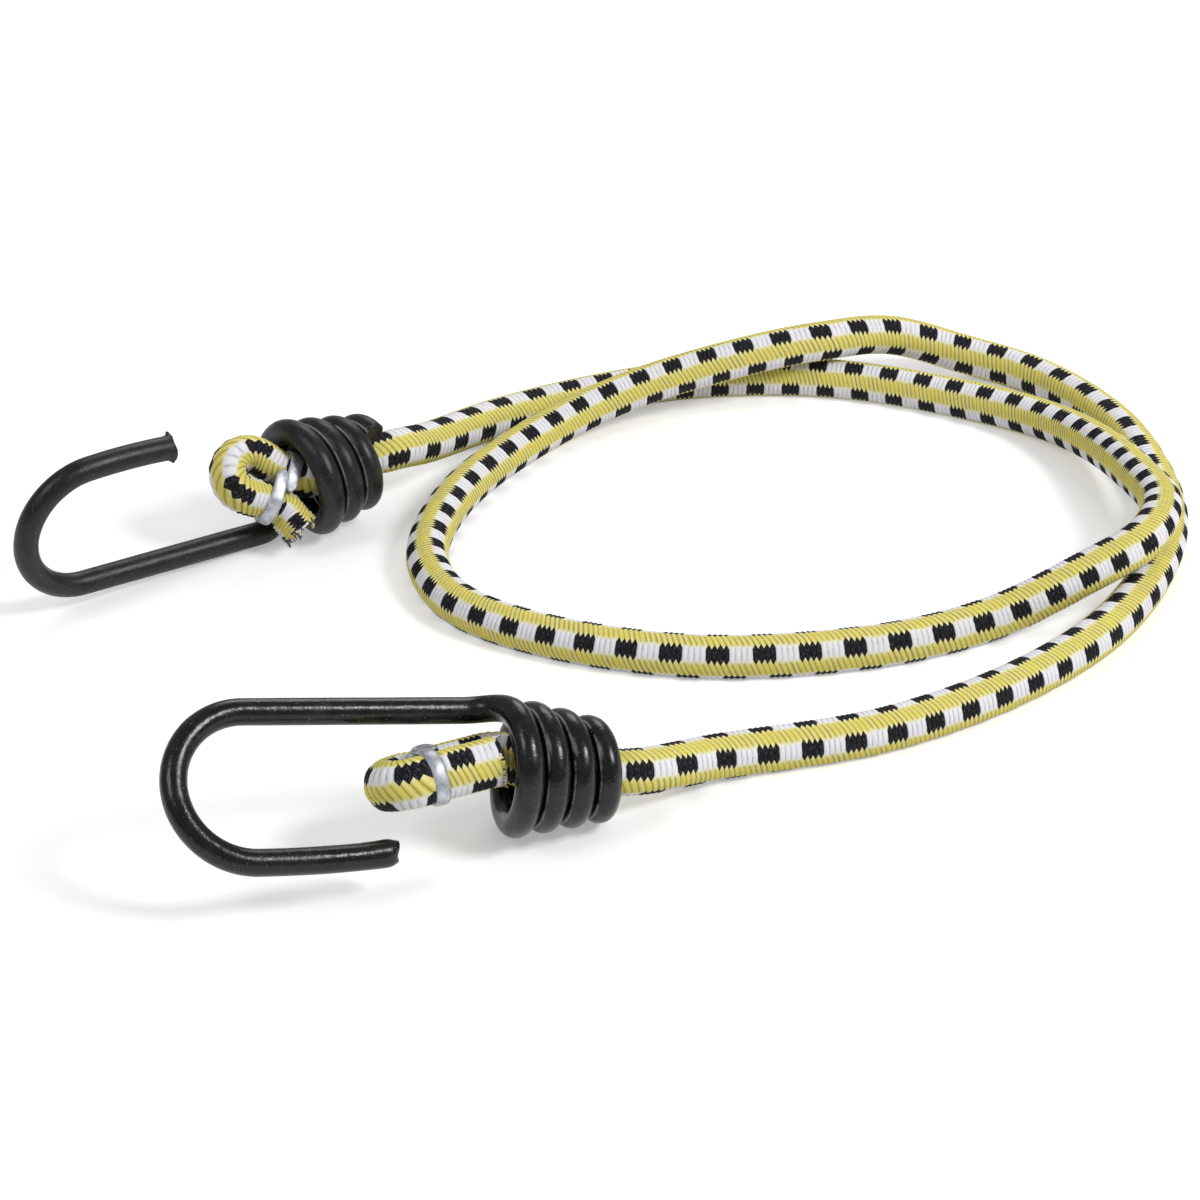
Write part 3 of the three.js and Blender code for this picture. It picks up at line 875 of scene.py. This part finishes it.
# Dust, painted highlights along the seams, specks and grain of the dipped coat
def dipCoatGroup():
    tree, given, result = newGroup(
        "dipCoat", [("Roughness", "Float")],
        [("Colour", "Color"), ("Roughness", "Float"), ("Height", "Float")],
    )
    spot = objectPlace(tree)
    grain, blotch, ripple, speck = (
        addNoise(tree, spot, *vinylLook[key]) for key in ("grain", "blotch", "ripple", "speck")
    )
    gap = addNode(tree, "ShaderNodeAttribute", attribute_name="seam").outputs["Fac"]
    dust = clamped(tree, blotch, *vinylLook["dustRange"])
    colour = mixColour(tree, dust, vinylLook["black"], vinylLook["dusty"])
    # painted highlight along the seams between the coil's turns, broken up by the blotches
    fromSeam = calc(tree, "ABSOLUTE", calc(tree, "SUBTRACT", gap, vinylLook["seamGap"]))
    edge = calc(tree, "SUBTRACT", 1.0, clamped(tree, fromSeam, 0.0, vinylLook["seamWidth"]))
    edge = calc(tree, "MULTIPLY", edge, clamped(tree, blotch, *vinylLook["seamHighlightRange"]))
    colour = mixColour(tree, edge, colour, vinylLook["seamHighlightAndSpeck"])
    dot = calc(tree, "MULTIPLY", clamped(tree, speck, *vinylLook["speckRange"]), vinylLook["speckShare"])
    colour = mixColour(tree, dot, colour, vinylLook["seamHighlightAndSpeck"])
    rough = calc(tree, "MULTIPLY_ADD", blotch, vinylLook["blotchRoughness"], given["Roughness"])
    height = calc(tree, "ADD", calc(tree, "MULTIPLY", grain, vinylLook["grainHeight"]), ripple)
    for label, value in (("Colour", colour), ("Roughness", rough), ("Height", height)):
        feed(tree, result[label], value)
    return tree


def vinylMaterial(name, roughness, group):
    material, tree, shader = newTree(name)
    coat = addNode(tree, "ShaderNodeGroup", node_tree=group)
    coat.inputs["Roughness"].default_value = roughness
    tree.links.new(coat.outputs["Colour"], shader.inputs["Base Color"])
    tree.links.new(coat.outputs["Roughness"], shader.inputs["Roughness"])
    emboss(tree, shader, coat.outputs["Height"], *vinylLook["bump"])
    shader.inputs["Specular IOR Level"].default_value = vinylLook["specular"]
    return material


dipCoat = dipCoatGroup()
addHook(hookA, vinylMaterial("dullVinyl", vinylLook["dull"], dipCoat))
addHook(hookB, vinylMaterial("glossyVinyl", vinylLook["glossy"], dipCoat))
print("hooks made")

# Folded end of the cord
fold = {
    "squash": {"a": 0.86, "b": 0.94},
    "splitDepth": 0.009,
    "splitGap": 0.0003,
    "passHalf": 0.00359,
    "loopRadius": 0.0042,
    "crimpWidth": 0.0023,
    "crimpLead": 0.0014,
    "pinch": 0.07,
    "pinchOver": 0.0014,
    "pinchUntil": 0.002,  # from the cut tail, which isn't pinched
    "flare": {"a": 0.015, "b": 0.03},
    "flareOver": 0.0016,
    "hollow": [(0.0008, 0.0), (0.0002, -0.0009)],  # steps down in the cut tail, so that the rubber shows in it
    "samples": 2000,
    "steps": {"coil": 40, "crimp": 12, "loop": 24, "bend": 60, "tail": 16},
    "cornerFrom": 110,  # points of the line between which the corner of a flared tail is eased
    "cornerTo": -8,
    "cornerWidth": 15,
    # distance from the crimp's middle on the way back, number of the check there
    "checksA": [
        (-0.045, -1.95), (-0.0268, 0.25), (-0.0194, 1.25), (-0.0068, 2.25), (0.0, 3.25), (0.0056, 4.25),
        (0.008, 4.7),
    ],
    "checksB": [(-0.045, -3.1), (-0.0113, 1.25), (-0.0045, 2.25), (0.0039, 3.25), (0.0112, 4.1)],
    # the same distance, angle of a row of checks there
    "turnA": [(-0.045, 90), (-0.018, 92), (-0.009, 121), (0.008, 118)],
    "turnB": [(-0.045, 143), (0.0112, 143)],
}


def foldFrame(hook):
    roll, tilt, droop = (math.radians(hook[key]) for key in ("foldRoll", "foldTilt", "foldDroop"))
    across = np.array([0.0, math.sin(roll), math.cos(roll)])
    square = np.array([0.0, -math.cos(roll), math.sin(roll)])
    along = np.array([1.0, 0.0, 0.0]) - across * math.tan(tilt) - square * math.tan(droop)
    along /= np.linalg.norm(along)
    outward, sideways, upright = hook["crimpCentre"]
    centre = np.array([outward, 0.0, 0.0]) + across * sideways + square * upright
    level = np.cross(along, across)
    level /= np.linalg.norm(level)
    return centre, along, np.cross(level, along), level


def foldLine(hook):
    centre, along, across, level = foldFrame(hook)
    steps = fold["steps"]

    def spot(onward, sideways):
        return centre + along * onward + across * sideways

    half, radius, crimpEdge = fold["passHalf"], fold["loopRadius"], fold["crimpWidth"] / 2
    start = np.array([-fold["splitDepth"] + fold["splitGap"] / 2, 0.0, 0.0])
    passOut, crimpOut = spot(hook["passFrom"], -half), spot(crimpEdge, -half)
    loopOut, loopBack = spot(hook["loopAt"], -radius), spot(hook["loopAt"], radius)
    crimpBack, tailStart = spot(crimpEdge, half), spot(-crimpEdge - fold["crimpLead"], half)
    flare = math.radians(hook["tailFlare"])
    tailWay = across * math.sin(flare) - along * math.cos(flare)
    tailEnd = tailStart + tailWay * (hook["tailLength"] - crimpEdge - fold["crimpLead"])
    angle = np.linspace(0, math.pi, steps["bend"], endpoint=False)[:, None]
    arc = spot(hook["loopAt"], 0.0) + radius * (along * np.sin(angle) - across * np.cos(angle))
    path = np.vstack([
        bezier(start, np.array([1.0, 0.0, 0.0]), passOut, along, steps["coil"]),
        line(passOut, crimpOut, steps["crimp"]),
        bezier(crimpOut, along, loopOut, along, steps["loop"]),
        arc,
        bezier(loopBack, -along, crimpBack, -along, steps["loop"]),
        line(crimpBack, tailStart, steps["crimp"]),
        line(tailStart, tailEnd, steps["tail"]),
        tailEnd[None, :],
    ])
    corner = slice(fold["cornerFrom"], fold["cornerTo"])
    for axis in range(3):
        path[corner, axis] = softened(path[:, axis], fold["cornerWidth"])[corner]
    return path, centre, along, across, level


def addFold(hook, material, yarns):
    name, squash = hook["name"].upper(), fold["squash"][hook["name"]]
    path, centre, along, across, level = foldLine(hook)
    distance = lengthsAlong(path)
    fromCrimp = np.linalg.norm(path - (centre + across * fold["passHalf"]), axis=1)
    crimpAt = distance[int(np.argmin(fromCrimp))]
    fine = np.linspace(0, distance[-1], fold["samples"])
    count = eased(fold["checks" + name], fine - crimpAt) * cord["ribsPerCheck"] - 0.5
    perRib = cord["ringsPerRib"]
    ribs = np.arange(math.ceil(count[0] * perRib) / perRib, count[-1], 1.0 / perRib)
    spots = np.interp(ribs, count, fine)
    rings = pointsAt(path, spots)
    away = np.abs((rings - centre) @ along)
    left = distance[-1] - spots
    pinch = fold["pinch"] * np.exp(-(away / fold["pinchOver"]) ** 2) * (left > fold["pinchUntil"])
    flare = fold["flare"][hook["name"]] * np.exp(-(left / fold["flareOver"]) ** 2)
    radius = cord["diameter"] / 2 * (1 - pinch) * (1 + flare)
    world = moved(rings, hookMatrix(hook))
    sideways, upward = uprightFrames(world, turnedWith(hook, level))
    turn = eased(fold["turn" + name], spots - crimpAt)
    mesh = braidedTube("foldedEnd" + name, world, sideways, upward, ribs, turn, radius, squash)
    hollowEnds(mesh, fold["hollow"], nearest=world[-1])
    piece = addPiece(mesh.name, mesh, material, "end_" + hook["name"])
    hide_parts("jacket_end_" + hook["name"])
    addFray(hook, yarns, world, sideways[-1], upward[-1], radius[-1])


# Loose yarn round the cut tail
fray = {
    "count": 52,
    "clump": 4,
    "points": 6,
    "jitter": 0.4,
    "shortest": 0.0006,
    "longest": {"a": 0.0017, "b": 0.0015},
    "thickness": 0.00025,
    "thicknessRange": (0.7, 1.25),
    "thinning": 0.6,  # towards the end of a yarn
    "rootDepth": 0.0007,
    "rootReach": (0.84, 0.99),  # of the cord's radius
    "spread": 0.16,
    "curl": 0.4,
    "strayCurl": 0.15,
    "sag": 0.25,
    "lowest": 0.0004,
    "seeds": {"a": 21, "b": 22},
    "shares": {"a": (0.28, 0.6, 0.12), "b": (0.4, 0.25, 0.35)},  # of yellow, black and white yarn
}


# Whether loose yarn would be in the way of the wire where the hook stops swivelling
def inTheWay(hook, wirePath, points):
    turn = Matrix.Rotation(math.radians(-hook["swivelStop"]), 4, "X") @ hookMatrix(hook).inverted()
    away = np.linalg.norm(moved(points, turn)[:, None, :] - wirePath[None, :, :], axis=2)
    return away.min() < wire["coilRadius"] + fray["thickness"]


def addFray(hook, yarns, world, sideways, upward, radius):
    rng = np.random.default_rng(fray["seeds"][hook["name"]])
    onward = (world[-1] - world[-4]) / np.linalg.norm(world[-1] - world[-4])
    curve = newCurve("fray", 1)
    curve.use_fill_caps = True
    for yarn in yarns:
        curve.materials.append(yarn)
    squash = fold["squash"][hook["name"]]
    clumps = rng.normal(0, fray["curl"], (fray["count"] // fray["clump"], 3))
    steps = np.linspace(0, 1, fray["points"])[:, None]
    droop = np.array([0.0, 0.0, -fray["sag"]])
    wirePath = hookLine(hook)[0]
    for index in range(fray["count"]):
        turned = math.radians(360.0 * (index + rng.uniform(-fray["jitter"], fray["jitter"])) / fray["count"])
        outward = sideways * math.cos(turned) * squash + upward * math.sin(turned) / squash
        length = rng.uniform(fray["shortest"], fray["longest"][hook["name"]])
        foot = world[-1] - onward * fray["rootDepth"] + outward * radius * rng.uniform(*fray["rootReach"])
        stray = clumps[index // fray["clump"]] + rng.normal(0, fray["strayCurl"], 3)
        way = onward + outward * rng.uniform(0.0, fray["spread"])
        points = foot + length * (steps * way + steps ** 2 * stray * 0.5 + steps ** 3 * droop)
        points[:, 2] = np.maximum(points[:, 2], fray["lowest"])
        if inTheWay(hook, wirePath, points):
            continue
        thickness = fray["thickness"] * rng.uniform(*fray["thicknessRange"])
        spline = addSpline(curve, points, thickness * (1 - fray["thinning"] * steps[:, 0] ** 2))
        spline.material_index = int(rng.choice(3, p=fray["shares"][hook["name"]]))
    mesh = meshOf(curve, "frayedYarn" + hook["name"].upper())
    smoothShaded(mesh)
    piece = place(mesh.name, mesh)
    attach(piece, "end_" + hook["name"])


# Crimp: a flat clip bent round both passes, its pointed ends side by side
clip = {
    "halfWidth": 0.0013,
    "halfThick": 0.00042,
    "clearance": 0.00016,
    "lead": 0.0010,  # how far each end lies to its side of the middle
    "sides": 16,
    "steps": 220,
    "bendSteps": 60,
    "overlap": 0.0038,
    "taperOver": 0.0015,
    "pointWidth": 0.25,  # shares left at the pointed ends
    "pointThick": 0.55,
    "fullness": 0.7,  # below 1 squares the section
}


def addClip(hook, material):
    centre, along, across, level = foldFrame(hook)
    squash = fold["squash"][hook["name"]]
    wide = cord["diameter"] / squash / 2 + clip["clearance"]
    thick = cord["diameter"] * squash / 2 + clip["clearance"]
    angle = np.linspace(0, math.pi, clip["bendSteps"])
    upper = np.column_stack([wide * np.cos(angle), fold["passHalf"] + thick * np.sin(angle)])
    ring = np.vstack([upper, -upper, upper[:1]])
    ring = np.column_stack([ring, np.zeros(len(ring))])
    length = lengthsAlong(ring)[-1]
    middle = length / 2 - fold["passHalf"]
    run = np.linspace(-clip["overlap"] / 2, length + clip["overlap"] / 2, clip["steps"])
    spots = pointsAt(ring, (run + middle) % length)
    drift = clip["lead"] * (2 * run / length - 1)
    path = centre + spots[:, :1] * -level + spots[:, 1:2] * across + drift[:, None] * along
    taper = np.clip(np.minimum(run - run[0], run[-1] - run) / clip["taperOver"], 0.0, 1.0)
    rounded = np.sin(taper * math.pi / 2)
    halfWidth = clip["halfWidth"] * (clip["pointWidth"] + (1 - clip["pointWidth"]) * rounded)
    halfThick = clip["halfThick"] * (clip["pointThick"] + (1 - clip["pointThick"]) * taper)
    world = moved(path, hookMatrix(hook))
    outward, widthway = uprightFrames(world, turnedWith(hook, along))
    mesh, column = sweptTube("crimpClip" + hook["name"].upper(), world, outward, widthway,
                             halfThick, halfWidth, clip["sides"], clip["fullness"])
    wrapRound(mesh, "strip", column, run * 1000)
    piece = addPiece(mesh.name, mesh, material, "end_" + hook["name"])
    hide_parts("crimp_ring_" + hook["name"])


mottleRange = (0.35, 0.7)  # of the noise, from the plain colour to the deep one


# Blotches of a deeper colour, which the yarn, the zinc, the rubber and the bare wire share
def mottleGroup():
    tree, given, result = newGroup(
        "mottle", [("Scale", "Float"), ("Detail", "Float"), ("Colour", "Color"), ("Deep", "Color")],
        [("Colour", "Color"), ("Height", "Float")],
    )
    noise = addNoise(tree, objectPlace(tree), given["Scale"], given["Detail"])
    colour = mixColour(tree, clamped(tree, noise, *mottleRange), given["Colour"], given["Deep"])
    feed(tree, result["Colour"], colour)
    feed(tree, result["Height"], noise)
    return tree


mottle = mottleGroup()

# noise: scale and detail; roughness: share of the noise, base; bump: distance, strength
yarnLook = {"noise": (5200.0, 2.0), "roughness": (0.3, 0.5), "bump": (0.00005, 0.5), "metal": 0.0, "specular": 0.25}
zincLook = {
    "colour": (0.6, 0.62, 0.66, 1.0), "deep": (0.34, 0.36, 0.4, 1.0),
    "noise": (700.0, 4.0), "roughness": (0.35, 0.34), "bump": (0.0001, 0.4), "metal": 0.9, "specular": 0.5,
    "drawNoise": (1.5, 4.0),  # lines along the strip
    "drawScale": (30.0, 0.6, 1.0),
}


def mottledMaterial(name, colour, deep, look, lines=None):
    material, tree, shader = newTree(name)
    scale, detail = look["noise"]
    spots = addNode(tree, "ShaderNodeGroup", {
        "Scale": scale, "Detail": detail, "Colour": colour, "Deep": deep,
    }, node_tree=mottle)
    height = spots.outputs["Height"]
    tree.links.new(spots.outputs["Colour"], shader.inputs["Base Color"])
    tree.links.new(calc(tree, "MULTIPLY_ADD", height, *look["roughness"]), shader.inputs["Roughness"])
    emboss(tree, shader, calc(tree, "ADD", lines(tree), height) if lines else height, *look["bump"])
    shader.inputs["Metallic"].default_value = look["metal"]
    shader.inputs["Specular IOR Level"].default_value = look["specular"]
    return material


def drawnLines(tree):
    uv = addNode(tree, "ShaderNodeUVMap", uv_map="strip")
    stretch = addNode(tree, "ShaderNodeMapping", {"Vector": uv.outputs[0], "Scale": zincLook["drawScale"]})
    return addNoise(tree, stretch.outputs[0], *zincLook["drawNoise"])


zinc = mottledMaterial("zincPlate", zincLook["colour"], zincLook["deep"], zincLook, drawnLines)
yarns = [
    mottledMaterial("yellowYarn", braid["yellow"], braid["yellowGrooveShadeAndMottle"], yarnLook),
    mottledMaterial("blackYarn", braid["blackFibre"], braid["black"], yarnLook),
    mottledMaterial("whiteYarn", braid["white"], braid["whiteGrooveShadeAndMottle"], yarnLook),
]
for hook in (hookA, hookB):
    addFold(hook, jacket, yarns)
    addClip(hook, zinc)
print("folded ends and crimps made")

# What shows of the wire and the rubber strands at the cut ends
rubberLook = {
    "colour": (0.50, 0.41, 0.25, 1.0), "deep": (0.33, 0.25, 0.14, 1.0),
    "noise": (900.0, 4.0), "roughness": (0.3, 0.6), "bump": (0.0001, 0.4), "metal": 0.0, "specular": 0.5,
}
steelLook = {
    "colour": (0.50, 0.51, 0.53, 1.0), "deep": (0.30, 0.30, 0.31, 1.0),
    "noise": (900.0, 4.0), "roughness": (0.3, 0.25), "bump": (0.0001, 0.4), "metal": 1.0, "specular": 0.5,
}
rubber = mottledMaterial("rawRubber", rubberLook["colour"], rubberLook["deep"], rubberLook)
steel = mottledMaterial("drawnWire", steelLook["colour"], steelLook["deep"], steelLook)


def addWire(hook):
    path = hookLine(hook)[0]
    along = np.linspace(wire["tipOverhang"], lengthsAlong(path)[-1] - wire["overhang"], wire["steelRings"])
    centre = moved(pointsAt(path, along), hookMatrix(hook))
    across, upward = minimalFrames(centre, turnedWith(hook, (0.0, 1.0, 0.0)))
    mesh, column = sweptTube("hookWire" + hook["name"].upper(), centre, across, upward,
                             wire["steelRadius"], wire["steelRadius"], wire["steelSides"])
    wrapRound(mesh, "wire", column, along * 1000)
    piece = addPiece(mesh.name, mesh, steel, "hook_" + hook["name"])
    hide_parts("hook_wire_" + hook["name"])


addWire(hookA)
addWire(hookB)
for name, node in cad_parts.items():
    if name.startswith("core_strand_"):
        for holder in node.material_slots:
            holder.link = "OBJECT"
            holder.material = rubber
print("wire and rubber finished")
